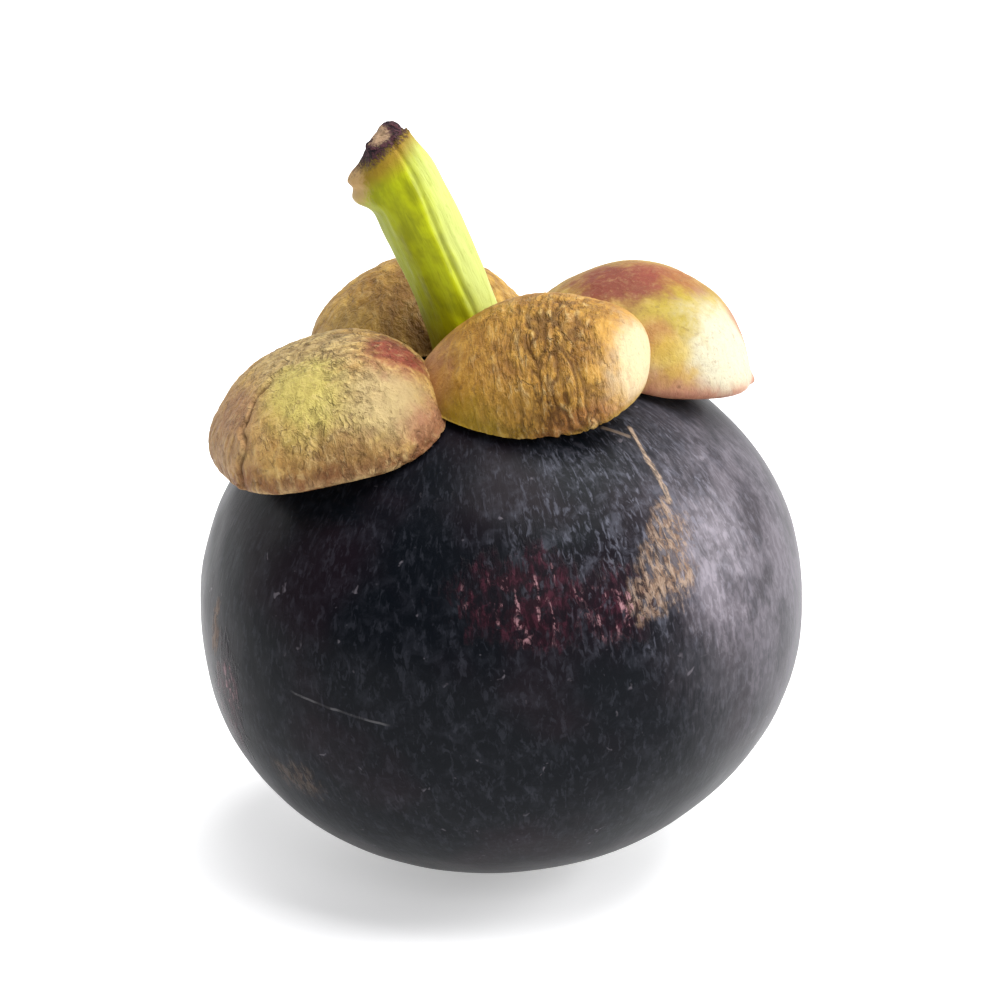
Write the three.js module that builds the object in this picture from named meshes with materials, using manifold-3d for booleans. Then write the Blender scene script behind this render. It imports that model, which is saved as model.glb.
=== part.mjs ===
// A whole mangosteen, picked with its calyx and stem, standing on its blossom end.
// Millimetres, +Z up. The origin is the centre of the flat spot that the fruit rests on.
import * as THREE from "three";
import { mergeVertices } from "three/addons/utils/BufferGeometryUtils.js";
import Module from "manifold-3d";

const wasm = await Module();
wasm.setup();

const degrees = THREE.MathUtils.degToRad;

// ---- Driving dimensions ----
const EQUATOR_RADIUS = 31; // the fruit's widest radius
const CROWN_HEIGHT = 27.3; // equator to the stem end
const BASE_HEIGHT = 26.8; // equator to the blossom end
const SQUARENESS = 2.1; // 2 is a plain ellipse; a little more gives fuller shoulders
const LEAN = degrees(5.2); // the fruit's own axis leans this far towards -X
const FRUIT_CENTRE = new THREE.Vector3(-1.3, 0, 27.7);
const CLEARANCE = 0.35; // left between pieces that touch

const CROWN_DIMPLE = { depth: 1.6, spread: degrees(14) };
const BASE_DIMPLE = { depth: 0.5, spread: degrees(13) };
// Shallow swellings around the equator, from the segments of flesh inside.
const SWELLS = [
  { count: 3, height: 0.16, turn: 1.1 },
  { count: 5, height: 0.12, turn: -0.6 },
];

// The stem leans towards -X and bends further over as it rises. Its foot starts below the skin,
// which cuts it off, and its side bulges at a knuckle under the tip.
const STEM = {
  foot: -3.1, // from the crown
  length: 26.2,
  radius: 3.85,
  offset: 0.9,
  lean: 0.24,
  bend: 0.003,
  ridges: 4,
  ridgeHeight: 0.17,
  flare: { size: 1.2, spread: 0.12 },
  knuckle: { size: 1.7, place: 0.865, spread: 0.065 },
  closing: { size: 0.8, spread: 0.09 },
  dome: 1.1,
  rings: 16,
  sides: 24,
};

// The dried stigma under the fruit, cut to the fruit's skin above and worn flat below.
const ROSETTE = { radius: 6.8, lobes: 6, notch: 0.17, height: 2.6, bevel: 0.35, steps: 8 };

// Each calyx lobe is a thick cup, open side down, over the shoulder of the fruit. azimuth is the
// way its middle lies from the stem, reach its distance from the axis and rise its height above
// the crown. facing is the way its outer end points, tilt how far that end droops and roll how
// far its right side does. length (outwards), width (across) and height are half sizes of the
// ellipsoid that the cup is part of and curl how far round the ellipsoid the cup reaches. corner
// is 2 for a round rim and more for a squarer one, slope how much the cup's crown falls away
// outwards, and point how much the cup narrows at its left side.
const SEPALS = {
  sepal_left: {
    azimuth: 209, reach: 17.0, rise: -4.6, facing: 196, tilt: 6, roll: 2,
    length: 12, width: 12.4, height: 9.8, curl: 101,
    corner: 2.6, slope: 0.12, point: 0, colour: 0xa79658,
  },
  sepal_front: {
    azimuth: 302, reach: 10.6, rise: 0.2, facing: 267, tilt: 18, roll: 8,
    length: 9.6, width: 12.2, height: 6.6, curl: 118,
    corner: 2.2, slope: 0, point: 0.36, colour: 0xa88a4c,
  },
  sepal_right: {
    azimuth: 17.2, reach: 16.5, rise: -5.1, facing: 8, tilt: 11, roll: 0,
    length: 12.1, width: 12, height: 11, curl: 90,
    corner: 3, slope: 0, point: 0, colour: 0xc6b56a,
  },
  sepal_back: {
    azimuth: 112, reach: 15.1, rise: -5.2, facing: 106, tilt: 6, roll: 0,
    length: 12, width: 12.2, height: 11, curl: 95,
    corner: 2.6, slope: 0, point: 0, colour: 0x9a7a3a,
  },
};
const FRUIT_SEGMENTS = 20; // across a sixth of the fruit
const SEPAL_SEGMENTS = 8;
const SEPAL_WALL = { crown: 4.2, rim: 2.4 }; // thickness at the top of the cup and at its rim
const RIM_ROUND = 0.2; // the share of the ball on each side of the rim that is rounded over

// ---- Shared helpers ----

// A closed ball of even quads: a cube's grid blown up to the unit sphere.
function ball(segments) {
  const box = new THREE.BoxGeometry(2, 2, 2, segments, segments, segments);
  box.deleteAttribute("normal");
  box.deleteAttribute("uv");
  const geometry = mergeVertices(box, 1e-4);
  return moved(geometry, (p) => {
    p.set(
      Math.tan((p.x * Math.PI) / 4),
      Math.tan((p.y * Math.PI) / 4),
      Math.tan((p.z * Math.PI) / 4),
    ).normalize();
  });
}

// Runs change on every vertex, given as a Vector3 that it alters.
function moved(geometry, change) {
  const position = geometry.getAttribute("position");
  const p = new THREE.Vector3();
  for (let i = 0; i < position.count; i++) {
    p.fromBufferAttribute(position, i);
    change(p);
    position.setXYZ(i, p.x, p.y, p.z);
  }
  geometry.computeVertexNormals();
  return geometry;
}

const bell = (x, spread) => Math.exp(-((x / spread) ** 2));

function piece(name, geometry, colour, roughness) {
  const material = new THREE.MeshStandardMaterial({ color: colour, roughness, metalness: 0 });
  const mesh = new THREE.Mesh(geometry, material);
  mesh.name = name;
  return mesh;
}

// A closed geometry as a solid that can be joined and cut, and back.
function solidOf(geometry) {
  const bare = geometry.clone();
  bare.deleteAttribute("normal");
  bare.deleteAttribute("uv");
  const merged = mergeVertices(bare, 1e-4);
  return new wasm.Manifold(
    new wasm.Mesh({
      numProp: 3,
      vertProperties: merged.getAttribute("position").array,
      triVerts: new Uint32Array(merged.getIndex().array),
    }),
  );
}

function geometryOf(solid) {
  const mesh = solid.getMesh();
  return new THREE.BufferGeometry()
    .setAttribute("position", new THREE.BufferAttribute(mesh.vertProperties, 3))
    .setIndex(new THREE.BufferAttribute(mesh.triVerts, 1));
}

// ---- The fruit ----

// Distance from the fruit's centre to its skin along a unit direction, in the fruit's own frame,
// where +Z points to the stem.
function skinRadius(direction) {
  const out = Math.hypot(direction.x, direction.y);
  const polar = direction.z > 0 ? CROWN_HEIGHT : BASE_HEIGHT;
  const radius =
    1 /
    ((out / EQUATOR_RADIUS) ** SQUARENESS + (Math.abs(direction.z) / polar) ** SQUARENESS) **
      (1 / SQUARENESS);
  const angle = Math.atan2(out, direction.z);
  const around = Math.atan2(direction.y, direction.x);
  const swells = SWELLS.map(({ count, height, turn }) => height * Math.cos(count * around + turn));
  const swell = swells.reduce((sum, value) => sum + value) * out ** 2;
  const crownDimple = CROWN_DIMPLE.depth * bell(angle, CROWN_DIMPLE.spread);
  const baseDimple = BASE_DIMPLE.depth * bell(Math.PI - angle, BASE_DIMPLE.spread);
  return radius + swell - crownDimple - baseDimple;
}

function fruitGeometry(grow = 0) {
  return moved(ball(FRUIT_SEGMENTS), (p) => p.setLength(skinRadius(p.clone()) + grow));
}

// ---- The calyx lobes ----

// The upper half of the ball becomes the outside of the cup and the lower half its inside, and
// the rim between them is rounded.
function sepalGeometry(lobe, grow = 0) {
  const place = new THREE.Matrix4()
    .makeRotationZ(degrees(lobe.azimuth))
    .multiply(new THREE.Matrix4().makeTranslation(lobe.reach, 0, CROWN_HEIGHT + lobe.rise))
    .multiply(new THREE.Matrix4().makeRotationZ(degrees(lobe.facing - lobe.azimuth)))
    .multiply(new THREE.Matrix4().makeRotationY(degrees(lobe.tilt)))
    .multiply(new THREE.Matrix4().makeRotationX(degrees(lobe.roll)));
  return moved(ball(SEPAL_SEGMENTS), (p) => {
    const around = Math.atan2(p.y, p.x);
    const fold = Math.acos(Math.min(1, Math.abs(p.z))) / (Math.PI / 2);
    const polar = fold * degrees(lobe.curl);
    const wall = THREE.MathUtils.lerp(SEPAL_WALL.crown, SEPAL_WALL.rim, fold) + 2 * grow;
    const inset = wall * (1 - THREE.MathUtils.smoothstep(p.z, -RIM_ROUND, RIM_ROUND)) - grow;
    const cosine = Math.abs(Math.cos(around));
    const sine = Math.abs(Math.sin(around));
    const square = (cosine ** lobe.corner + sine ** lobe.corner) ** (-1 / lobe.corner);
    const out = Math.sin(polar) * (1 + (square - 1) * Math.sin(polar) ** 2);
    const x = out * Math.cos(around);
    const y = out * Math.sin(around);
    const narrow = 1 - lobe.point * Math.max(0, -y) ** 2;
    p.set(
      x * (lobe.length - inset) * narrow,
      y * (lobe.width - inset),
      Math.cos(polar) * (lobe.height - inset) * narrow * (1 - lobe.slope * x),
    );
    p.applyMatrix4(place);
  });
}

// ---- The stem ----

function stemGeometry(grow = 0) {
  const { flare, knuckle, closing } = STEM;
  const tube = new THREE.CylinderGeometry(1, 1, 1, STEM.sides, STEM.rings);
  tube.rotateX(Math.PI / 2);
  tube.deleteAttribute("normal");
  tube.deleteAttribute("uv");
  return moved(mergeVertices(tube, 1e-4), (p) => {
    const along = p.z + 0.5;
    const around = Math.atan2(p.y, p.x);
    const outwards = Math.min(1, Math.hypot(p.x, p.y));
    const ridge = STEM.ridgeHeight * Math.cos(STEM.ridges * around);
    const bulge = knuckle.size * bell(along - knuckle.place, knuckle.spread);
    const swelling = flare.size * bell(along, flare.spread) + bulge * Math.max(0, -Math.cos(around));
    const rounding = closing.size * bell(1 - along, closing.spread);
    const radius = (STEM.radius + ridge + swelling - rounding + grow) * outwards;
    const height = along * STEM.length;
    const slope = STEM.lean + 2 * STEM.bend * height;
    const side = (radius * Math.cos(around)) / Math.hypot(1, slope);
    const dome = along > 0.99 ? STEM.dome * (1 - outwards) : 0;
    p.set(
      STEM.offset - STEM.lean * height - STEM.bend * height ** 2 + side,
      radius * Math.sin(around),
      CROWN_HEIGHT + STEM.foot + height + side * slope * along + dome,
    );
  });
}

// ---- The stigma rosette ----

function rosetteGeometry() {
  const outline = new THREE.Shape();
  const steps = ROSETTE.steps * ROSETTE.lobes;
  for (let i = 0; i < steps; i++) {
    const angle = (i / steps) * 2 * Math.PI;
    const lobe = Math.abs(Math.cos((angle * ROSETTE.lobes) / 2)) ** 0.6;
    const radius = (ROSETTE.radius - ROSETTE.bevel) * (1 - ROSETTE.notch * (1 - lobe));
    outline[i ? "lineTo" : "moveTo"](radius * Math.cos(angle), radius * Math.sin(angle));
  }
  outline.closePath();
  const flower = new THREE.ExtrudeGeometry(outline, {
    depth: ROSETTE.height - 2 * ROSETTE.bevel,
    bevelThickness: ROSETTE.bevel,
    bevelSize: ROSETTE.bevel,
    bevelSegments: 2,
  });
  return flower.translate(0, 0, ROSETTE.bevel);
}

// ---- The whole fruit ----

const mangosteen = new THREE.Group();
const leaning = new THREE.Group();
leaning.position.copy(FRUIT_CENTRE);
leaning.rotation.y = -LEAN;
leaning.updateMatrix();
mangosteen.add(leaning);

leaning.add(piece("fruit", fruitGeometry(), 0x2b2429, 0.5));

// Every lobe is cut back from the skin, the stem and the lobes listed before it.
const skin = solidOf(fruitGeometry(CLEARANCE));
leaning.add(piece("stem", geometryOf(solidOf(stemGeometry()).subtract(skin)), 0xa6b414, 0.55));
let taken = skin.add(solidOf(stemGeometry(CLEARANCE)));
for (const [name, lobe] of Object.entries(SEPALS)) {
  const cup = solidOf(sepalGeometry(lobe)).subtract(taken);
  leaning.add(piece(name, geometryOf(cup), lobe.colour, 0.75));
  taken = taken.add(solidOf(sepalGeometry(lobe, CLEARANCE)));
}
const placedSkin = solidOf(fruitGeometry(CLEARANCE).applyMatrix4(leaning.matrix));
const rosette = geometryOf(solidOf(rosetteGeometry()).subtract(placedSkin));
mangosteen.add(piece("stigma_rosette", rosette, 0x6b4a33, 0.9));

export default mangosteen;
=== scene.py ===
import math
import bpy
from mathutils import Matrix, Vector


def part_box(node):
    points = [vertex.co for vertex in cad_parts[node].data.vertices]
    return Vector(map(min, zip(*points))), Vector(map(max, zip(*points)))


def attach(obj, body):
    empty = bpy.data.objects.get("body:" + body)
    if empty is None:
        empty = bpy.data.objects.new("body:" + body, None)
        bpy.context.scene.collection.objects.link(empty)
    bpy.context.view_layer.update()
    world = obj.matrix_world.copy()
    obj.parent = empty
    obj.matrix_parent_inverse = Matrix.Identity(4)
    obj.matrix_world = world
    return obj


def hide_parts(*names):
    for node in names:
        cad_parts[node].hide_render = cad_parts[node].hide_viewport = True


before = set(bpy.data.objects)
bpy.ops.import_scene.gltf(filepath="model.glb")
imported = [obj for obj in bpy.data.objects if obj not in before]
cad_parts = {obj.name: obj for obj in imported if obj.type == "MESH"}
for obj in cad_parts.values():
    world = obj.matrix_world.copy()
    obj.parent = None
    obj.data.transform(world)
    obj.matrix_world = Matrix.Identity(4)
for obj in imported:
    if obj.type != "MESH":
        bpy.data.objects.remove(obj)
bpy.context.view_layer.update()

from types import SimpleNamespace

import bmesh
import bpy
from mathutils import Matrix, Vector, noise

# ---- The fruit's body ----
# The rind is one thick, leathery shell that grew closed. When ripe it is purple-black and waxy,
# with fine pale streaks that run from the stem end to the blossom end, and corky tan scars
# where it rubbed against branches. On the front shoulder the grey streaks are also painted
# glints, and on the right side the pale bloom is also a painted sheen.

MM = 0.001
EQUATOR_RADIUS = 31
CROWN_HEIGHT = 27.3
BASE_HEIGHT = 26.8
SQUARENESS = 2.1
LEAN = math.radians(5.2)
CENTRE_HEIGHT = 27.7
CROWN_DIMPLE = (1.6, math.radians(14))
BASE_DIMPLE = (0.5, math.radians(13))
SWELLS = ((3, 0.16, 1.1), (5, 0.12, -0.6))

fruit_low, fruit_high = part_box("fruit")
fruit_centre = Vector(((fruit_low[0] + fruit_high[0]) / 2, 0, CENTRE_HEIGHT * MM))
# From the fruit's own frame, in millimetres with +Z to the stem, to the object's in metres.
FRUIT_PLACE = Matrix.Translation(fruit_centre) @ Matrix.Rotation(-LEAN, 4, "Y") @ Matrix.Scale(MM, 4)


def bell(x, spread):
    return math.exp(-((x / spread) ** 2))


def skin_radius(direction):
    """How far the skin is from the fruit's centre, in millimetres, along a unit direction."""
    out = math.hypot(direction.x, direction.y)
    polar = CROWN_HEIGHT if direction.z > 0 else BASE_HEIGHT
    share = (out / EQUATOR_RADIUS) ** SQUARENESS + (abs(direction.z) / polar) ** SQUARENESS
    angle = math.atan2(out, direction.z)
    around = math.atan2(direction.y, direction.x)
    swell = sum(height * math.cos(count * around + turn) for count, height, turn in SWELLS)
    crown_dimple = CROWN_DIMPLE[0] * bell(angle, CROWN_DIMPLE[1])
    base_dimple = BASE_DIMPLE[0] * bell(math.pi - angle, BASE_DIMPLE[1])
    return share ** (-1 / SQUARENESS) + swell * out**2 - crown_dimple - base_dimple


def ball(cuts):
    """A ball one unit in radius, of even quads: a finely cut cube, blown up round."""
    form = bmesh.new()
    bmesh.ops.create_cube(form, size=2)
    bmesh.ops.subdivide_edges(form, edges=form.edges[:], cuts=cuts, use_grid_fill=True)
    for vertex in form.verts:
        vertex.co = Vector(math.tan(c * math.pi / 4) for c in vertex.co).normalized()
    return form


def finished(form, name, place, finish):
    """Turn a shape into a smooth piece of the object that stands for the CAD node of its name."""
    bmesh.ops.transform(form, matrix=place, verts=form.verts[:])
    bmesh.ops.recalc_face_normals(form, faces=form.faces[:])
    for face in form.faces:
        face.smooth = True
    mesh = bpy.data.meshes.new(name + "_surface")
    form.to_mesh(mesh)
    form.free()
    mesh.materials.append(finish)
    piece = bpy.data.objects.new(name + "_surface", mesh)
    bpy.context.collection.objects.link(piece)
    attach(piece, "root")
    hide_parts(name)


STUDIO_GAIN = 1.6


def tint(red, green, blue):
    """A colour as it looks under the studio's light, 0 to 255, as a shader's reflectance."""
    shares = (c / 255 for c in (red, green, blue))
    linear = (c / 12.92 if c < 0.04045 else ((c + 0.055) / 1.055) ** 2.4 for c in shares)
    return (*(c / STUDIO_GAIN for c in linear), 1)


class Wire:
    """One output of a material's nodes. Arithmetic on it adds Math nodes."""

    def __init__(self, tree, socket):
        self.tree = tree
        self.socket = socket

    def node(self, kind, settings, inputs, output=0):
        """Add a node: first its settings, then its sockets' values or links."""
        made = self.tree.nodes.new(kind)
        for setting, value in settings.items():
            setattr(made, setting, value)
        for place, value in inputs.items():
            if isinstance(value, Wire):
                self.tree.links.new(value.socket, made.inputs[place])
            else:
                made.inputs[place].default_value = value
        return Wire(self.tree, made.outputs[output])

    def math(self, operation, first, second=0.0):
        return self.node("ShaderNodeMath", {"operation": operation}, {0: first, 1: second})

    def __add__(self, other):
        return self.math("ADD", self, other)

    def __sub__(self, other):
        return self.math("SUBTRACT", self, other)

    def __rsub__(self, other):
        return self.math("SUBTRACT", other, self)

    def __mul__(self, other):
        return self.math("MULTIPLY", self, other)

    def __truediv__(self, other):
        return self.math("DIVIDE", self, other)

    def __pow__(self, other):
        return self.math("POWER", self, other)

    def __abs__(self):
        return self.math("ABSOLUTE", self)

    __radd__ = __add__
    __rmul__ = __mul__

    def at_least(self, other):
        return self.math("MAXIMUM", self, other)

    def rise(self, low, high):
        """0 below low, 1 above high and smooth between; high may be the lower one."""
        if low > high:
            return 1 - self.rise(high, low)
        settings = {"interpolation_type": "SMOOTHSTEP"}
        return self.node("ShaderNodeMapRange", settings, {"Value": self, 1: low, 2: high})

    def vector(self, operation, other=(0, 0, 0), output=0):
        return self.node("ShaderNodeVectorMath", {"operation": operation}, {0: self, 1: other}, output)

    def length(self):
        return self.vector("LENGTH", output=1)

    def dot(self, other):
        return self.vector("DOT_PRODUCT", other, output=1)

    def seen_from(self, location=(0, 0, 0), rotation=(0, 0, 0), scale=(1, 1, 1)):
        """The coordinates in a frame of this location, rotation and scale."""
        inputs = {"Vector": self, "Location": location, "Rotation": rotation, "Scale": scale}
        return self.node("ShaderNodeMapping", {"vector_type": "TEXTURE"}, inputs)

    def stretched(self, across, along):
        """Coordinates for a pattern that is drawn out along Z."""
        return self.vector("MULTIPLY", (across, across, along))

    def mottle(self, scale, detail=3.0, roughness=0.5, distortion=0.0):
        """Soft noise around 0.5, with this many patches to a unit."""
        inputs = {"Vector": self, "Scale": scale, "Detail": detail, "Roughness": roughness}
        return self.node("ShaderNodeTexNoise", {}, {**inputs, "Distortion": distortion})

    def over(self, under, over):
        """Lay one colour over another, with this as the mask."""
        settings = {"data_type": "RGBA", "clamp_factor": True}
        return self.node("ShaderNodeMix", settings, {0: self, 6: under, 7: over}, 2)

    def parts(self):
        split = self.node("ShaderNodeSeparateXYZ", {}, {0: self})
        return [Wire(self.tree, socket) for socket in split.socket.node.outputs]


def start_finish(name):
    """Start a material, and give its Object coordinates."""
    finish = bpy.data.materials.new(name)
    finish.use_nodes = True
    source = finish.node_tree.nodes.new("ShaderNodeTexCoord")
    return finish, Wire(finish.node_tree, source.outputs["Object"])


def end_finish(finish, colour, roughness, relief, **constants):
    """Join a colour, a roughness and a relief in millimetres to the material's shader."""
    shader = finish.node_tree.nodes["Principled BSDF"]
    bump = relief.node("ShaderNodeBump", {}, {"Height": relief, "Distance": MM, "Strength": 1.0})
    for socket, wire in (("Base Color", colour), ("Roughness", roughness), ("Normal", bump)):
        finish.node_tree.links.new(wire.socket, shader.inputs[socket])
    for socket, value in constants.items():
        shader.inputs[socket.replace("_", " ")].default_value = value


def patch(place, centre, size, ragged, softness):
    """A mask that is 1 at centre and fades out at a ragged edge about size away."""
    distance = place.seen_from(centre, scale=size).length()
    return (distance + ragged).rise(1 + softness / 2, 1 - softness / 2)


def strongest(masks):
    """Join masks into one: at each point, the strongest of them."""
    joined, *others = masks
    for mask in others:
        joined = joined.at_least(mask)
    return joined


def layered(colour, layers):
    """Lay colours over one another in turn. Each layer is a mask and its colour."""
    for mask, shade in layers:
        colour = mask.over(colour, shade)
    return colour


def scratch(place, start, end, width, wander):
    """A mask for a line that follows the round skin from start to end."""
    start, end = Vector(start), Vector(end)
    same_side = place.dot(tuple(start + end)).rise(0, 100)
    off_line = abs(place.dot(tuple(start.cross(end).normalized())) + wander)
    run = end - start
    along = place.vector("SUBTRACT", tuple(start)).dot(tuple(run / run.length_squared))
    ends = along.rise(-0.06, 0.06) * along.rise(1.06, 0.94)
    return off_line.rise(width, width * 0.4) * ends * same_side


SKIN_BLACK = tint(13, 17, 23)
SKIN_PURPLE = tint(27, 20, 27)
SKIN_GREY_AND_GLINT = tint(118, 120, 134)
BLOOM_AND_SHEEN = tint(170, 162, 172)
CRIMSON = tint(72, 35, 47)
WINE = tint(37, 19, 27)
PINK = tint(200, 152, 158)
CORK = tint(184, 158, 136)
CORK_SHADE = tint(140, 112, 92)
SCAR = tint(188, 164, 142)
SCRATCH_GREY = tint(150, 148, 150)


def rind_patterns(coordinates):
    """The coordinates and the patterns of noise that the rind's layers share."""
    place = coordinates.seen_from(tuple(fruit_centre), (0, -LEAN, 0), (MM, MM, MM))
    x, y, z = place.parts()
    outwards = (x * x + y * y) ** 0.5 + 0.5
    polar = z.math("ARCTAN2", outwards, z)
    # meridian is a unit circle around the fruit with the angle from the stem along Z, so noise
    # on it is drawn out from pole to pole.
    meridian = z.node("ShaderNodeCombineXYZ", {}, {0: x / outwards, 1: y / outwards, 2: polar})
    strands = meridian.stretched(EQUATOR_RADIUS, 14.0)
    long_strands = meridian.stretched(EQUATOR_RADIUS, 6.0)
    clouds = place.mottle(0.22, 4.0, 0.6)
    blots = place.mottle(0.5, 4.0, 0.65, 0.5)
    fibre = long_strands.mottle(1.1, 5.0, 0.65, 0.9)
    ragged = (fibre - 0.5) * 1.3 + (clouds - 0.5) * 1.2
    return SimpleNamespace(
        place=place,
        broad=place.mottle(0.07, 3.0),
        clouds=clouds,
        blots=blots,
        fibre=fibre,
        hair=strands.mottle(1.8, 4.0, 0.6, 0.6),
        pebble=strands.mottle(0.95, 3.0, 0.55, 0.9),
        threads=strands.mottle(1.5, 5.0, 0.7, 0.6),
        ragged=ragged,
        torn=ragged * 1.1 + (blots - 0.5) * 1.6,
        wander=(long_strands.mottle(0.35, 2.0) - 0.5) * 1.4,
    )


def worn_and_glint_skin(noises):
    """Where wax is rubbed thin and the grey grain shows, and on the front shoulder painted glints. It
    is never quite 0.
    """
    place, ragged = noises.place, noises.ragged
    front_shoulder = patch(place, (15, -20, 15), (12, 11, 10), ragged, 1.3)
    back_shoulder = patch(place, (-16, 20, 10), (17, 17, 17), ragged, 1.2)
    return 0.16 + 0.84 * front_shoulder.at_least(back_shoulder)


def bloom_and_painted_sheen(noises):
    """The pale bloom of wax, on the right and on the back; on the right side it is also a painted
    sheen.
    """
    place, ragged, torn = noises.place, noises.ragged, noises.torn
    right_side = patch(place, (27, -10, 8), (13, 15, 17), ragged * 0.5, 1.2)
    right_front = patch(place, (22.5, -18, 9.5), (5.4, 6.5, 8.4), torn * 0.6, 1.0)
    back = patch(place, (-8, 25, 9), (17, 14, 15), ragged * 0.5, 1.2)
    clouded = 0.4 + 0.6 * noises.clouds.rise(0.4, 0.62)
    streaked = 0.7 + 0.3 * noises.hair.rise(0.42, 0.58)
    return strongest([right_side * 0.55, right_front, back]) * clouded * streaked


def red_skin(noises):
    """Where the skin has stayed crimson."""
    place, torn = noises.place, noises.torn
    return strongest([
        patch(place, (3.4, -27.8, 10.6), (6.6, 6.5, 4.4), torn, 0.4),
        patch(place, (12.2, -25.6, 8.8), (3.4, 5.0, 3.6), torn, 0.4),
        patch(place, (-27.6, -13.4, -2.5), (3.2, 3.0, 6.0), torn, 0.5),
        patch(place, (12.0, 27.0, -3.0), (8.0, 8.0, 8.0), torn, 0.5) * 0.8,
    ])


def corky_skin(noises):
    """Where rubbing has left cork: one long patch in front and some smaller ones."""
    place, torn = noises.place, noises.torn
    cork = strongest([
        patch(place, (18.3, -20.2, 13.6), (1.5, 3.0, 3.4), torn, 0.7),
        patch(place, (17.6, -22.6, 10.6), (2.6, 3.4, 3.2), torn, 0.7),
        patch(place, (15.2, -24.8, 8.8), (2.3, 3.0, 1.8), torn, 0.7) * 0.8,
        patch(place, (-28.0, -11.6, 3.4), (2.6, 1.2, 3.6), torn, 0.6) * 0.6,
        patch(place, (-21.0, -20.5, -9.0), (3.0, 3.0, 2.2), torn, 0.8) * 0.2,
        patch(place, (-19.0, 22.0, 6.0), (3.4, 3.4, 6.0), torn * 1.4, 0.6) * 0.7,
    ])
    return cork * (0.12 + 0.88 * noises.threads.rise(0.43, 0.54))


def scarred_skin(noises):
    """Thin healed scars: one in two stretches and a side branch in front, and one behind."""
    place, wander, hair = noises.place, noises.wander, noises.hair - 0.5
    upper = scratch(place, (14.8, -12.2, 21.9), (16.3, -15.2, 19.4), 0.32, wander * 0.5)
    lower = scratch(place, (16.2, -15.0, 19.6), (18.4, -18.2, 15.8), 0.5, wander * 0.6 + hair * 0.9)
    branch = scratch(place, (12.0, -13.0, 21.6), (14.9, -13.4, 21.0), 0.3, wander * 0.3)
    behind = scratch(place, (6.0, 28.0, 12.0), (-4.0, 30.0, 2.0), 0.35, wander + hair * 0.8)
    main = upper.at_least(lower) * (0.3 + 0.7 * noises.threads.rise(0.4, 0.54))
    return strongest([main, branch * 0.4, behind * 0.6])


def rind_finish():
    finish, coordinates = start_finish("rind_skin")
    noises = rind_patterns(coordinates)
    clouds, blots, fibre = noises.clouds, noises.blots, noises.fibre
    hair, pebble, threads = noises.hair, noises.pebble, noises.threads
    worn_and_glints = worn_and_glint_skin(noises)
    bloom_and_sheen = bloom_and_painted_sheen(noises)
    red = red_skin(noises)
    cork = corky_skin(noises)
    scar = scarred_skin(noises)

    # Painted glints: on the front shoulder the grey streaks and blotches stand in for light glinting
    # off the skin's small bumps; elsewhere they are the skin's own grey grain.
    streaks_and_glints = hair.rise(0.5, 0.62) * (0.25 + 0.75 * pebble.rise(0.42, 0.58)) * worn_and_glints
    flecks = noises.place.mottle(0.9, 2.0, 0.4, 0.5).rise(0.7, 0.78) * clouds.rise(0.42, 0.6)
    reddened = threads.rise(0.44, 0.62).over(WINE, CRIMSON)
    pink_lines = fibre.rise(0.52, 0.6) * threads.rise(0.47, 0.6) * blots.rise(0.43, 0.54)
    corky = hair.rise(0.4, 0.62).over(CORK_SHADE, CORK)
    scrape = scratch(noises.place, (-20.2, -23.3, 1.3), (-11.3, -28.9, -0.9), 0.17, noises.wander * 0.5)
    base = noises.broad.rise(0.44, 0.66).over(SKIN_BLACK, SKIN_PURPLE)
    colour = layered(base, (
        (streaks_and_glints * 0.55, SKIN_GREY_AND_GLINT),
        (blots.rise(0.46, 0.7) * worn_and_glints * 0.35, SKIN_GREY_AND_GLINT),
        (flecks * 0.3, BLOOM_AND_SHEEN),
        # Painted sheen: on the right side the pale bloom stands in for the soft sheen of light on the
        # waxy skin; on the back it is the skin's own bloom.
        (bloom_and_sheen * 0.8, BLOOM_AND_SHEEN),
        (red * (0.2 + 0.8 * blots.rise(0.43, 0.57)), reddened),
        (red * pink_lines * 0.75, PINK),
        (cork * 0.85, corky),
        (scar * 0.9, SCAR),
        (scrape * (0.08 + 0.24 * blots.rise(0.4, 0.6)), SCRATCH_GREY),
    ))

    roughness = 0.34 + 0.12 * (clouds - 0.5) + 0.1 * streaks_and_glints + 0.16 * bloom_and_sheen + 0.26 * cork + 0.2 * scar
    relief = 0.05 * clouds + 0.05 * pebble * worn_and_glints + 0.035 * hair * worn_and_glints + 0.02 * fibre
    relief = relief + 0.08 * cork * threads + 0.1 * scar + 0.09 * red * threads
    end_finish(finish, colour, roughness, relief, IOR=1.34, Specular_IOR_Level=0.12)
    return finish


SKIN_CUTS = 98


def skin_dents(point):
    """Shallow dents that growing and handling leave, in millimetres."""
    broad = noise.noise(point * 0.07) * 0.22
    small = noise.noise(point * 0.23 + Vector((7, 3, 1))) * 0.06
    return broad + small


rind = ball(SKIN_CUTS)
for vertex in rind.verts:
    direction = vertex.co.copy()
    surface = direction * skin_radius(direction)
    vertex.co = surface + direction * skin_dents(surface)
finished(rind, "fruit", FRUIT_PLACE, rind_finish())

# ---- The stem ----
# A woody green stalk, four-sided with rounded ridges, that leans and bends to one side. It was
# snapped off, and its tip healed into a dark, ragged scar over a lumpy corky knuckle.

STEM_FOOT = -3.1
STEM_LENGTH = 26.2
STEM_RADIUS = 3.85
STEM_OFFSET = 0.9
STEM_LEAN = 0.24
STEM_BEND = 0.003
STEM_AROUND = 120
STEM_RINGS = 120
CAP_RINGS = 14
# Where the two grooves and the knuckle are around the stem, from +X.
FRONT_GROOVE = math.radians(298)
BACK_GROOVE = math.radians(110)
KNUCKLE_SIDE = math.pi - 0.25


def turn_from(middle, around):
    """The angle from middle to around, between half a turn back and half a turn on."""
    return (around - middle + math.pi) % (2 * math.pi) - math.pi


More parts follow.
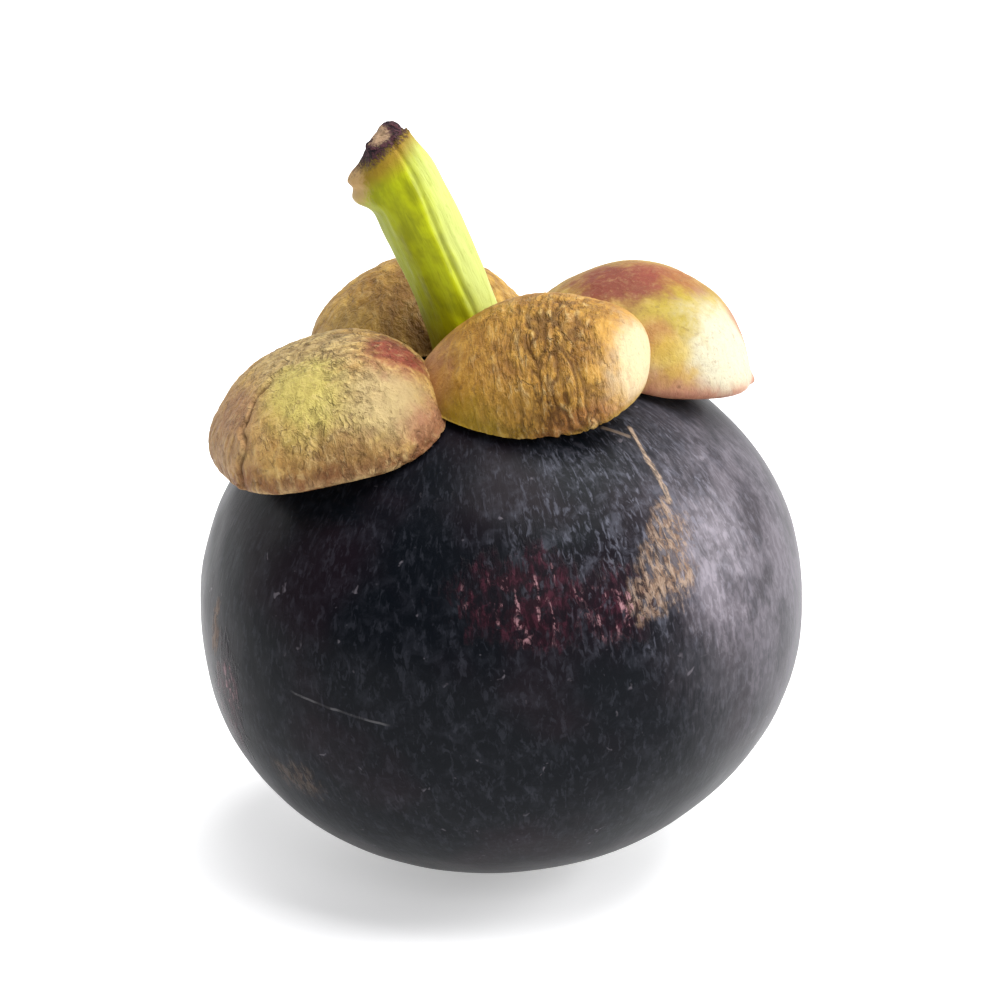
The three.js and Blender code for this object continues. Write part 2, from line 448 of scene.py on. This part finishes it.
def stem_radius(along, around):
    """The stem's radius in millimetres, along its length from 0 to 1 and around it."""
    twist = around + 0.25 * along + 0.05 * math.sin(9 * along)
    ridges = 0.2 * math.cos(4 * twist)
    off_groove = turn_from(FRONT_GROOVE + 0.06 * math.sin(7 * along + 1), around)
    groove = 0.18 * bell(off_groove + 0.02, 0.06) * (1 - bell(along, 0.1))
    lips = 0.1 * bell(off_groove - 0.16, 0.12) + 0.14 * bell(off_groove + 0.18, 0.12)
    back_groove = 0.25 * bell(turn_from(BACK_GROOVE, around), 0.16)
    flare = 1.2 * bell(along, 0.12)
    lump_side = max(0, math.cos(around - KNUCKLE_SIDE)) ** 1.3
    knuckle = lump_side * (1.4 * bell(along - 0.905, 0.03) + 1.5 * bell(along - 0.83, 0.05))
    closing = 0.9 * bell(1 - along, 0.1) + 1.5 * lump_side * bell(1 - along, 0.04)
    return STEM_RADIUS + ridges - groove + lips - back_groove + flare + knuckle - closing


def spun(profile, steps):
    """Spin a profile, a list of (radius, height) from axis to axis, into a closed round form."""
    form = bmesh.new()
    line = [form.verts.new((radius, 0, height)) for radius, height in profile]
    edges = [form.edges.new(pair) for pair in zip(line, line[1:])]
    turn = {"cent": (0, 0, 0), "axis": (0, 0, 1), "angle": 2 * math.pi, "steps": steps}
    bmesh.ops.spin(form, geom=line + edges, use_merge=True, **turn)
    bmesh.ops.remove_doubles(form, verts=form.verts[:], dist=1e-5)
    # Welding can leave the faces in a different order each time, so they are put in one order.
    ordered = sorted(form.faces, key=lambda face: face.calc_center_median()[:])
    for index, face in enumerate(ordered):
        face.index = index
    form.faces.sort()
    return form


STEM_GREEN = tint(158, 163, 0)
STEM_YELLOW = tint(192, 200, 0)
STEM_SHADE = tint(132, 136, 0)
TIP_BLACK = tint(30, 20, 28)
TIP_BROWN = tint(96, 60, 66)


def stem_finish():
    finish, coordinates = start_finish("stem_bark")
    place = coordinates.seen_from(tuple(fruit_centre), (0, -LEAN, 0), (MM, MM, MM))
    x, y, z = place.parts()
    height = z - (CROWN_HEIGHT + STEM_FOOT)
    along = height / STEM_LENGTH
    sideways = x - STEM_OFFSET + STEM_LEAN * height + STEM_BEND * height * height
    straight = x.node("ShaderNodeCombineXYZ", {}, {0: sideways, 1: y, 2: height})
    strands = straight.stretched(1.0, 0.16)
    fibre = strands.mottle(1.6, 4.0, 0.6, 0.5)
    fine = strands.mottle(5.0, 3.0, 0.6, 0.3)
    clouds = straight.mottle(0.28, 3.0, 0.55)
    grain = straight.mottle(3.0, 3.0, 0.6)

    wavy = (fibre - 0.5) * 0.6
    # Painted light: the pale strip down the right side is a painted highlight.
    painted_light_side = patch(straight, (4.2, -1.2, 13), (3.0, 3.4, 15), wavy, 0.8)
    # Painted light: the pale strip down the left edge is a painted edge light.
    painted_left_edge_light = patch(straight, (-4.2, -1.0, 13), (1.8, 2.6, 8), wavy, 0.9)
    foot = (along + (clouds - 0.5) * 0.12).rise(0.34, 0.16)
    corky = (along + (clouds - 0.5) * 0.1 - sideways * 0.02).rise(0.86, 0.95)
    knuckle = patch(straight, (-5.6, -0.6, 22.6), (2.5, 4.5, 3.0), (grain - 0.5) * 0.9, 0.6)
    bruise = patch(straight, (-5.0, -1.0, 24.6), (1.8, 3.0, 0.8), grain - 0.5, 0.6)
    tip = (along + (grain - 0.5) * 0.08 - sideways * 0.02).rise(0.95, 0.985)
    tan_spot = patch(straight, (-0.1, -1.2, 27.1), (1.5, 1.9, 1.1), (grain - 0.5) * 1.2, 0.5)
    base = clouds.rise(0.38, 0.62).over(STEM_GREEN, STEM_YELLOW)
    colour = layered(base, (
        (fibre.rise(0.5, 0.66) * 0.4, tint(202, 212, 20)),
        (painted_light_side * 0.9, tint(212, 222, 124)),
        (painted_left_edge_light * 0.5, tint(206, 220, 80)),
        (fibre.rise(0.42, 0.3) * 0.3, STEM_SHADE),
        (fine.rise(0.44, 0.34) * 0.25, STEM_SHADE),
        (foot * 0.6, tint(162, 136, 16)),
        (corky * 0.8, tint(158, 112, 40)),
        (knuckle * (0.55 + 0.45 * grain), tint(226, 184, 128)),
        (bruise * 0.6, tint(120, 60, 30)),
        (tip, grain.rise(0.4, 0.62).over(TIP_BLACK, TIP_BROWN)),
        (tan_spot * 0.9, tint(206, 172, 136)),
    ))

    roughness = 0.5 + 0.15 * (fibre - 0.5) + 0.3 * tip.at_least(corky * 0.6)
    relief = 0.08 * fibre + 0.03 * fine + 0.12 * grain * corky + 0.3 * grain * tip + 0.06 * clouds
    end_finish(finish, colour, roughness, relief, Specular_IOR_Level=0.16)
    return finish


wall = [(1, step / STEM_RINGS) for step in range(STEM_RINGS + 1)]
foot_disc = [(step / CAP_RINGS, 0) for step in range(CAP_RINGS)]
tip_disc = [(step / CAP_RINGS, 1) for step in reversed(range(CAP_RINGS))]
stem = spun(foot_disc + wall + tip_disc, STEM_AROUND)
for vertex in stem.verts:
    outwards = min(1, math.hypot(vertex.co.x, vertex.co.y))
    along = vertex.co.z
    around = math.atan2(vertex.co.y, vertex.co.x) % (2 * math.pi)
    height = along * STEM_LENGTH
    radius = stem_radius(along, around) * outwards
    bumps = Vector((math.cos(around) * radius * 0.4, math.sin(around) * radius * 0.4, height * 0.14))
    radius += outwards * 0.22 * noise.noise(bumps) + outwards * 0.1 * noise.noise(bumps * 2.7)
    slope = STEM_LEAN + 2 * STEM_BEND * height
    side = radius * math.cos(around) / math.hypot(1, slope)
    rise = side * slope * along
    if along > 0.99:
        ragged = Vector((math.cos(around), math.sin(around), 0)) * radius
        rise += 0.9 * (1 - outwards**2)
        rise += 0.7 * noise.noise(ragged * 0.5) + 0.35 * noise.noise(ragged * 1.7)
    elif along > 0.9:
        lumps = Vector((math.cos(around) * 1.6, math.sin(around) * 1.6, height * 0.7))
        side += 0.35 * noise.noise(lumps) * (along - 0.9) / 0.1
    lean = STEM_OFFSET - STEM_LEAN * height - STEM_BEND * height**2
    vertex.co = (lean + side, radius * math.sin(around), CROWN_HEIGHT + STEM_FOOT + height + rise)
finished(stem, "stem", FRUIT_PLACE, stem_finish())

# ---- The calyx lobes ----
# Four thick, leathery leaves in two pairs, each curled into a cup over the shoulder of the
# fruit. They dry after picking: their outsides turn from green and cream to tan and wrinkle,
# while the rims stay rounded and paler.

LOBE_CUTS = 110
RIM_ARC = math.radians(13)
# The creases are bent by noise vectors, and the seed settles where those are read from.
WRINKLE_SEED = 1
noise.seed_set(WRINKLE_SEED)
# What each point of a lobe carries for its colour: how deep in a crease it is, how wrinkled the
# skin is around it, and how near the rim's edge it is. The crease depth paints shade into the colour.
LOBE_MEASURES = ("crease", "rough", "edge")


def softly_over(height, floor, softness):
    """height where it is well above floor, and a little over floor where it is below."""
    gap = (height - floor) / softness
    return height if gap > 20 else floor + softness * math.log1p(math.exp(gap))


def folds(point, spacing, stretch):
    """Creases that run the length of a lobe: 0 on a fold's back, 1 at the bottom of a crease."""
    place = Vector((point.x * stretch, point.y, point.z * stretch)) / spacing
    place += 0.7 * noise.noise_vector(place * 0.5)
    wide = max(0, 1 - abs(noise.noise(place)) / 0.3)
    narrow = max(0, 1 - abs(noise.noise(place * 2.1 + Vector((5, 2, 8)))) / 0.3)
    return wide, narrow


def crackle(point, spacing, stretch):
    """The creases between leathery scales: 0 inside a scale, 1 on its border."""
    place = Vector((point.x * stretch, point.y, point.z * stretch)) / spacing
    place += 0.4 * noise.noise_vector(place * 0.6)
    distances = noise.voronoi(place)[0]
    return max(0, 1 - (distances[1] - distances[0]) / 0.28)


def lobe_place(azimuth, reach, rise, facing, tilt, roll):
    """From a lobe's own frame, +X outwards, +Y to its left and +Z up, to the fruit's."""
    return (
        Matrix.Rotation(math.radians(azimuth), 4, "Z")
        @ Matrix.Translation((reach, 0, CROWN_HEIGHT + rise))
        @ Matrix.Rotation(math.radians(facing - azimuth), 4, "Z")
        @ Matrix.Rotation(math.radians(tilt), 4, "Y")
        @ Matrix.Rotation(math.radians(roll), 4, "X")
    )


def cup_point(unit, end, rim_angle, walls, corner):
    """Where a unit ball's point goes on a cup that curls to the angle end before its rim.

    The ball's upper half is the outside, its lower half the inside and the band between them
    the rounded rim. It gives the direction from the cup's middle, how deep the point is inset
    from the outside, and how far it is from the rim's middle: 1 is where the outside starts
    and -1 where the inside does.
    """
    crown_wall, rim_wall = walls
    around = math.atan2(unit.y, unit.x)
    up = math.asin(max(-1, min(1, unit.z)))
    if abs(up) > RIM_ARC:
        fold = (math.pi / 2 - abs(up)) / (math.pi / 2 - RIM_ARC)
        polar = end * fold
        inset = 0 if up > 0 else crown_wall + (rim_wall - crown_wall) * fold**2
    else:
        rounding = up / RIM_ARC * math.pi / 2
        polar = end + rim_angle * math.cos(rounding)
        inset = rim_wall / 2 * (1 - math.sin(rounding))
    square = (abs(math.cos(around)) ** corner + abs(math.sin(around)) ** corner) ** (-1 / corner)
    flat = math.sin(polar) * (1 + (square - 1) * math.sin(polar) ** 2)
    across = Vector((flat * math.cos(around), flat * math.sin(around), math.cos(polar)))
    return across, inset, up / RIM_ARC


def calyx_lobe(place, size, wrinkle, curl, walls, layer, point=0.0, slope=0.0, corner=2.6):
    """Curl a ball into a thick cup, wrinkle its outside and press it onto the fruit."""
    length, width, height = size
    rim_angle = walls[1] / 2 / (sum(size) / 3)
    end = math.radians(curl) - rim_angle
    form = ball(LOBE_CUTS)
    floats = form.verts.layers.float
    crease_layer, rough_layer, edge_layer = (floats.new(measure) for measure in LOBE_MEASURES)
    for vertex in form.verts:
        across, inset, band = cup_point(vertex.co, end, rim_angle, walls, corner)
        narrow = 1 - point * max(0, -across.y) ** 2
        spot = Vector((
            across.x * (length - inset) * narrow,
            across.y * (width - inset),
            across.z * (height - inset) * narrow * (1 - slope * across.x),
        ))
        outside = max(0, min(1, 0.5 + band * 0.5))
        lumps = 0.3 * noise.noise(spot * 0.16 + place.translation * 0.3)
        depth, crease, rough = wrinkle(spot, across)
        outward = Vector((across.x / length, across.y / width, across.z / height)).normalized()
        spot += outward * (lumps - depth * outside)
        vertex[crease_layer] = crease * outside
        vertex[rough_layer] = rough * outside
        vertex[edge_layer] = bell(band - 0.7, 0.4)
        spot = place @ spot
        direction = spot.normalized()
        floor = skin_radius(direction) + layer * (0.25 + 0.75 * outside)
        vertex.co = direction * softly_over(spot.length, floor, 0.25)
    return form


def calyx_finish(name, place, size, base, patches, rim, lip, grain, drawn_out):
    """Dry leathery skin of one colour with ragged patches of others, painted shade in its creases and
    painted highlights on its crests.
    """
    finish, coordinates = start_finish(name)
    world = FRUIT_PLACE @ place
    mm = coordinates.seen_from(tuple(world.translation), tuple(world.to_euler()), (MM, MM, MM))
    unit = mm.vector("DIVIDE", size)
    up = unit.parts()[2]
    crease, rough, edge = (
        mm.node("ShaderNodeAttribute", {"attribute_name": measure}, {}, 2) for measure in LOBE_MEASURES
    )
    clouds = mm.mottle(0.16, 4.0, 0.6)
    blotch = mm.mottle(0.5, 4.0, 0.6, 0.4)
    specks = mm.mottle(2.6, 4.0, 0.65)
    drawn = mm.vector("MULTIPLY", drawn_out)
    ridges = drawn.mottle(0.6, 4.0, 0.6, 0.35)
    fine_ridges = drawn.mottle(1.25, 4.0, 0.62, 0.3)
    broken = mm.mottle(0.9, 3.0, 0.6).rise(0.4, 0.58)
    valley = abs(ridges - 0.5).rise(0.045, 0.0) * rough * (0.15 + 0.85 * broken)
    fine_valley = fine_ridges.rise(0.5, 0.38) * (0.1 + 0.9 * rough)
    ragged = (clouds - 0.5) * 1.1 + (blotch - 0.5) * 0.8 + (ridges - 0.5) * 0.9

    rim_shade, rim_strength, rim_height = rim
    rim_mask = (up + ragged * 0.35).rise(rim_height + 0.12, rim_height - 0.12) * rim_strength
    # Painted highlight: the crests of the fine ridges are lightened where light catches them.
    painted_crest_highlights = fine_ridges.rise(0.52, 0.64) * (0.15 + 0.85 * rough) * (0.4 + 0.6 * broken)
    spots = mm.mottle(1.2, 2.0, 0.5).rise(0.64, 0.72) * clouds.rise(0.42, 0.56)
    # Painted shade: the creases and valleys are darkened where shade falls into them.
    painted_crease_shade = strongest([crease.rise(0.2, 0.8) * 0.72, valley * 0.7, fine_valley * 0.5])
    colour = layered(blotch.rise(0.35, 0.65).over(*base), (
        (patch(unit, centre, (reach, reach, reach), ragged, 0.9) * strength, shade)
        for centre, reach, shade, strength in patches
    ))
    colour = layered(colour, (
        (rim_mask, rim_shade),
        (edge * blotch.rise(0.38, 0.55) * 0.85, lip),
        (painted_crest_highlights * 0.5, tint(246, 216, 150)),
        (spots * 0.35, tint(112, 76, 52)),
        (specks.rise(0.5, 0.72) * 0.15, tint(226, 196, 130)),
        (specks.rise(0.46, 0.3) * 0.3, tint(124, 80, 30)),
        (painted_crease_shade, tint(96, 58, 20)),
    ))

    roughness = 0.56 + 0.16 * (specks - 0.5) + 0.12 * crease
    relief = grain * (0.08 * specks + 0.08 * blotch) + 0.5 * ridges * rough
    relief = relief - 0.2 * valley + (0.06 + 1.1 * rough) * fine_ridges
    end_finish(finish, colour, roughness, relief, Specular_IOR_Level=0.28)
    return finish


def left_wrinkles(spot, across):
    scales = crackle(spot, 1.15, 0.8)
    wide, narrow = folds(spot, 1.6, 0.5)
    smooth = bell((across - Vector((-0.5, 0.7, 0.4))).length, 0.5)
    smooth = max(smooth, 0.8 * bell((across - Vector((0.25, 0.55, 0.78))).length, 0.3))
    outer = max(0, min(1, across.x * 1.6 + 0.1))
    strength = (1 - 0.9 * smooth) * (1 - 0.4 * outer)
    turned_down = 0.95 * max(0, across.x - 0.6)
    off_split = across.y - 0.24 - turned_down + 0.11 * noise.noise(spot * 0.45)
    reach = max(0, min(1, 4 * across.x - 0.7)) * (0.7 + 0.5 * noise.noise(spot * 0.7))
    split = bell(off_split, 0.032) * reach
    lip = bell(off_split + 0.07, 0.055) * reach
    depth = strength * (0.06 * scales + 0.16 * wide + 0.06 * narrow) + 0.4 * split - 0.2 * lip
    return depth, max(strength * max(scales * 0.35, wide * 0.65), split), strength


def front_wrinkles(spot, across):
    wide, narrow = folds(spot, 1.0, 0.32)
    scales = crackle(spot, 1.1, 0.6)
    middle = bell(across.y - 0.3, 0.42)
    spread = 1 / (1 + math.exp(-(across.y + 0.42) / 0.12)) * (1 - 0.9 * bell(across.y - 1, 0.3))
    spread = spread * (1 - 0.8 * bell(across.x + 0.8, 0.35))
    depth = 0.3 * wide * (0.15 + 0.85 * middle) * spread + spread * (0.06 * narrow + 0.06 * scales)
    crease = spread * max(wide * (0.2 + 0.8 * middle), 0.3 * narrow, 0.35 * scales)
    return depth, crease, spread * (0.45 + 0.55 * middle)


def right_wrinkles(spot, across):
    wide, narrow = folds(spot, 3.4, 0.5)
    strength = 0.35 + 0.65 * bell((across - Vector((-0.4, 0.6, 0.6))).length, 0.8)
    tip = bell((across - Vector((0.97, -0.4, 0.05))).length, 0.08)
    return 0.05 * strength * (wide + narrow) - 1.0 * tip, max(0.15 * strength * wide, tip), 0.08


def back_wrinkles(spot, across):
    wide, narrow = folds(spot, 1.9, 0.45)
    scales = crackle(spot, 1.5, 0.7)
    return 0.1 * wide + 0.04 * narrow + 0.04 * scales, max(0.5 * wide, 0.2 * narrow), 0.45


TAN = (tint(192, 144, 74), tint(224, 182, 104))
OCHRE = (tint(166, 114, 34), tint(206, 154, 60))
GREEN_TAN = (tint(176, 136, 56), tint(200, 162, 76))
YELLOW_GREEN = tint(214, 198, 96)
CREAM = tint(218, 212, 184)
PALE_TAN_AND_HIGHLIGHT = tint(238, 214, 170)
ROSE = tint(152, 66, 48)
DUSTY_PINK = tint(186, 124, 94)
OLIVE = tint(176, 148, 20)
PAINTED_STEM_SHADOW = tint(116, 72, 24)

# Each lobe's place, half sizes in millimetres, shape and look. A patch has its centre, on a ball
# one unit in radius, then its reach, colour and strength. A rim has its colour, its strength and
# the height that it reaches on that ball.
LOBES = {
    "sepal_left": {
        "place": lobe_place(209, 17.0, -4.6, 196, 6, 2),
        "size": (12, 12.4, 9.8),
        "shape": {"curl": 101, "walls": (4.2, 2.4), "layer": 0.5, "slope": 0.12},
        "wrinkle": left_wrinkles,
        "look": {
            "base": TAN,
            "patches": (
                ((0.05, 0.9, 0.42), 0.44, tint(212, 190, 102), 0.8),
                # A painted highlight: the cream patch over the lobe's top.
                ((0.1, 0.05, 1.0), 0.5, tint(224, 200, 140), 0.6),
                ((0.28, 0.62, 0.73), 0.38, tint(216, 200, 104), 0.85),
                ((-0.34, 0.8, 0.49), 0.42, tint(200, 176, 124), 0.8),
                ((-0.63, 0.75, 0.05), 0.3, DUSTY_PINK, 0.8),
                ((0.1, 0.98, -0.05), 0.45, tint(146, 92, 46), 0.7),
                ((0.92, 0.1, 0.35), 0.5, tint(208, 162, 112), 0.8),
                ((0.82, 0.1, 0.55), 0.26, tint(166, 110, 80), 0.4),
                ((-0.6, 0.34, 0.72), 0.3, tint(150, 58, 44), 0.95),
            ),
            "rim": (tint(140, 84, 44), 0.8, 0.02),
            "lip": tint(216, 180, 124),
            "grain": 1.0,
            "drawn_out": (0.9, 0.9, 0.45),
        },
    },
    "sepal_front": {
        "place": lobe_place(302, 10.6, 0.2, 267, 18, 8),
        "size": (9.6, 12.2, 6.6),
        "shape": {"curl": 118, "walls": (4.0, 2.6), "layer": 0.9, "point": 0.36, "corner": 2.2},
        "wrinkle": front_wrinkles,
        "look": {
            "base": OCHRE,
            "patches": (
                ((0.75, -0.55, -0.1), 0.62, OLIVE, 0.7),
                # The pale patch at the right end is partly the lobe's own pale tan and partly a painted
                # highlight.
                ((0.2, 0.95, 0.15), 0.5, PALE_TAN_AND_HIGHLIGHT, 0.85),
                ((0.2, -0.9, 0.35), 0.45, DUSTY_PINK, 0.5),
                ((0.9, 0.35, -0.3), 0.4, tint(196, 126, 70), 0.6),
            ),
            "rim": (tint(186, 152, 30), 0.5, -0.3),
            "lip": tint(196, 160, 60),
            "grain": 1.2,
            "drawn_out": (0.36, 1.0, 0.36),
        },
    },
    "sepal_right": {
        "place": lobe_place(17.2, 16.5, -5.1, 8, 11, 0),
        "size": (11.8, 12, 11),
        "shape": {"curl": 87, "walls": (4.2, 2.4), "layer": 0.7, "corner": 3.0},
        "wrinkle": right_wrinkles,
        "look": {
            "base": GREEN_TAN,
            "patches": (
                ((0.31, -0.51, 0.8), 0.52, tint(182, 160, 40), 0.9),
                ((0.72, -0.64, 0.3), 0.56, CREAM, 0.97),
                ((-0.25, -0.12, 0.94), 0.42, tint(130, 48, 38), 0.94),
                ((0.2, 0.0, 0.97), 0.34, ROSE, 0.7),
                ((0.2, -0.96, 0.05), 0.28, tint(196, 136, 110), 0.8),
                ((0.02, -0.8, 0.6), 0.18, tint(170, 92, 54), 0.6),
                ((0.14, -0.85, 0.48), 0.16, tint(206, 176, 60), 0.7),
                ((1.06, -0.2, 0.1), 0.28, tint(166, 88, 70), 0.85),
                ((0.92, -0.05, 0.5), 0.26, tint(166, 92, 66), 0.8),
                ((1.1, -0.44, 0.06), 0.12, tint(90, 46, 34), 0.9),
                ((0.1, 0.7, 0.7), 0.6, YELLOW_GREEN, 0.7),
            ),
            "rim": (tint(176, 108, 84), 0.85, 0.12),
            "lip": tint(196, 132, 104),
            "grain": 0.6,
            "drawn_out": (0.8, 0.8, 0.4),
        },
    },
    "sepal_back": {
        "place": lobe_place(112, 15.1, -5.2, 106, 6, 0),
        "size": (12, 12.2, 11),
        "shape": {"curl": 95, "walls": (4.2, 2.4), "layer": 0.3},
        "wrinkle": back_wrinkles,
        "look": {
            "base": (tint(180, 132, 46), tint(216, 170, 72)),
            "patches": (
                # A painted shadow: the umber patch on the lobe's inner top, next to the stem, is the
                # stem's shadow.
                ((-0.6, 0.1, 0.75), 0.6, PAINTED_STEM_SHADOW, 0.6),
                ((-0.4, 0.85, 0.4), 0.4, tint(190, 154, 74), 0.7),
                ((0.8, 0.2, 0.5), 0.6, YELLOW_GREEN, 0.5),
            ),
            "rim": (tint(150, 98, 44), 0.5, 0.05),
            "lip": tint(210, 176, 120),
            "grain": 1.0,
            "drawn_out": (0.6, 0.8, 0.4),
        },
    },
}

for name, lobe in LOBES.items():
    form = calyx_lobe(lobe["place"], lobe["size"], lobe["wrinkle"], **lobe["shape"])
    finish = calyx_finish(name + "_skin", lobe["place"], lobe["size"], **lobe["look"])
    finished(form, name, FRUIT_PLACE, finish)

# ---- The stigma rosette ----
# The dried stigma under the fruit, a flat woody flower with one lobe for each segment of flesh.
# The fruit rests on it, so the lobes' faces are worn flat, with grooves between them.

rosette_low, rosette_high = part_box("stigma_rosette")
ROSETTE_RADIUS = (rosette_high[1] - rosette_low[1]) / 2 / MM
ROSETTE_LOBES = 6
ROSETTE_NOTCH = 0.17
ROSETTE_HEIGHT = 2.2
ROSETTE_AROUND = 192
UNDER_RINGS = 24
EDGE_RINGS = 6
TOP_RINGS = 8
GROOVE_DEPTH = 0.7
PIT_DEPTH = 0.8
EDGE_ROUNDING = 0.5
EDGE_START = 0.86


def rosette_finish():
    finish, coordinates = start_finish("stigma_wood")
    mm = coordinates.seen_from(scale=(MM, MM, MM))
    grain = mm.mottle(1.4, 5.0, 0.65)
    fine = mm.mottle(5.0, 3.0, 0.6)
    up = mm.parts()[2]
    colour = layered(grain.rise(0.36, 0.66).over(tint(52, 34, 26), tint(128, 92, 62)), (
        (fine.rise(0.5, 0.7) * 0.4, tint(168, 132, 96)),
        (up.rise(0.1, 0.55) * 0.7, tint(34, 22, 20)),
    ))
    end_finish(finish, colour, 0.8 + 0.2 * (grain - 0.5), 0.12 * grain + 0.04 * fine)
    return finish


under = [(step / UNDER_RINGS, 0) for step in range(UNDER_RINGS)]
edge = [(1, step / EDGE_RINGS) for step in range(EDGE_RINGS + 1)]
top = [(step / TOP_RINGS, 1) for step in reversed(range(TOP_RINGS))]
rosette = spun(under + edge + top, ROSETTE_AROUND)
for vertex in rosette.verts:
    outwards = math.hypot(vertex.co.x, vertex.co.y)
    around = math.atan2(vertex.co.y, vertex.co.x)
    # 1 along the middle of a lobe and 0 on the border to the next one.
    in_lobe = abs(math.cos(around * ROSETTE_LOBES / 2))
    radius = ROSETTE_RADIUS * outwards * (1 - ROSETTE_NOTCH * (1 - in_lobe**0.6))
    spot = Vector((radius * math.cos(around), radius * math.sin(around), vertex.co.z * ROSETTE_HEIGHT))
    if vertex.co.z < 0.01:
        off_border = in_lobe * outwards * ROSETTE_RADIUS / ROSETTE_LOBES * 2
        groove = GROOVE_DEPTH * bell(off_border, 0.35) * (1 - bell(outwards, 0.12))
        pit = PIT_DEPTH * bell(outwards, 0.14)
        rounding = EDGE_ROUNDING * max(0, (outwards - EDGE_START) / (1 - EDGE_START)) ** 2
        dish = 0.12 + 0.12 * noise.noise(spot * 0.8)
        spot.z = max(0, groove + pit + rounding + dish * (1 - bell(outwards - 0.75, 0.18)))
    vertex.co = spot
finished(rosette, "stigma_rosette", Matrix.Scale(MM, 4), rosette_finish())

# ---- The floor, the light and the camera ----
# A plain white sweep under soft boxes: a big one above, one on each side for the pale edges on
# the dark rind, and a weak one in front.

FLOOR_SIZE = 6.0
FLOOR_GLOW = 0.42
FLOOR_WHITE = (0.82, 0.82, 0.83, 1)
WORLD_WHITE = (1, 1, 1, 1)
WORLD_SHADE = (0.12, 0.12, 0.13, 1)


def area_light(name, place, target, size, power):
    lamp = bpy.data.lights.new(name, "AREA")
    lamp.shape = "RECTANGLE"
    lamp.size, lamp.size_y = size
    lamp.energy = power
    box = bpy.data.objects.new(name, lamp)
    aim = Vector(target) - Vector(place)
    box.matrix_world = Matrix.Translation(place) @ aim.to_track_quat("-Z", "Y").to_matrix().to_4x4()
    bpy.context.collection.objects.link(box)


sweep = bmesh.new()
bmesh.ops.create_grid(sweep, x_segments=1, y_segments=1, size=FLOOR_SIZE / 2)
floor_mesh = bpy.data.meshes.new("floor")
sweep.to_mesh(floor_mesh)
sweep.free()
floor = bpy.data.objects.new("floor", floor_mesh)
bpy.context.collection.objects.link(floor)
floor_finish = bpy.data.materials.new("floor_white")
floor_finish.use_nodes = True
floor_shader = floor_finish.node_tree.nodes["Principled BSDF"]
floor_shader.inputs["Base Color"].default_value = FLOOR_WHITE
floor_shader.inputs["Emission Color"].default_value = WORLD_WHITE
floor_shader.inputs["Emission Strength"].default_value = FLOOR_GLOW
floor_shader.inputs["Roughness"].default_value = 0.45
floor_mesh.materials.append(floor_finish)

# The studio around it is white, but darker on the side that the camera stands on.
world = bpy.data.worlds.new("studio")
world.use_nodes = True
background = world.node_tree.nodes["Background"]
direction = Wire(world.node_tree, world.node_tree.nodes.new("ShaderNodeTexCoord").outputs["Generated"])
to_camera = direction.dot((0, -0.94, 0.34))
brightness = to_camera.rise(-0.5, 0.4).over(WORLD_WHITE, WORLD_SHADE)
seen = direction.node("ShaderNodeLightPath", {}, {})
world.node_tree.links.new(seen.over(brightness, WORLD_WHITE).socket, background.inputs["Color"])
bpy.context.scene.world = world
bpy.context.scene.view_settings.view_transform = "Standard"

MIDDLE = (0, 0, 0.035)
area_light("top_box", (0.18, -0.08, 0.7), MIDDLE, (0.6, 0.6), 9)
area_light("right_box", (0.7, 0.1, 0.3), MIDDLE, (0.3, 0.3), 5)
area_light("left_box", (-0.7, 0.35, 0.3), MIDDLE, (0.25, 0.6), 0.5)
area_light("front_box", (0.15, -0.7, 0.5), MIDDLE, (0.3, 0.3), 1.5)

ELEVATION = math.radians(20)
DISTANCE = 0.55
AIM = Vector((-1.1, 3.6, 37.5)) * MM
backwards = Vector((0, -math.cos(ELEVATION), math.sin(ELEVATION)))
lens = bpy.data.cameras.new("camera")
lens.lens = 192
lens.sensor_width = 36
camera = bpy.data.objects.new("camera", lens)
camera.location = AIM + backwards * DISTANCE
camera.rotation_euler = (-backwards).to_track_quat("-Z", "Y").to_euler()
bpy.context.collection.objects.link(camera)
bpy.context.scene.camera = camera
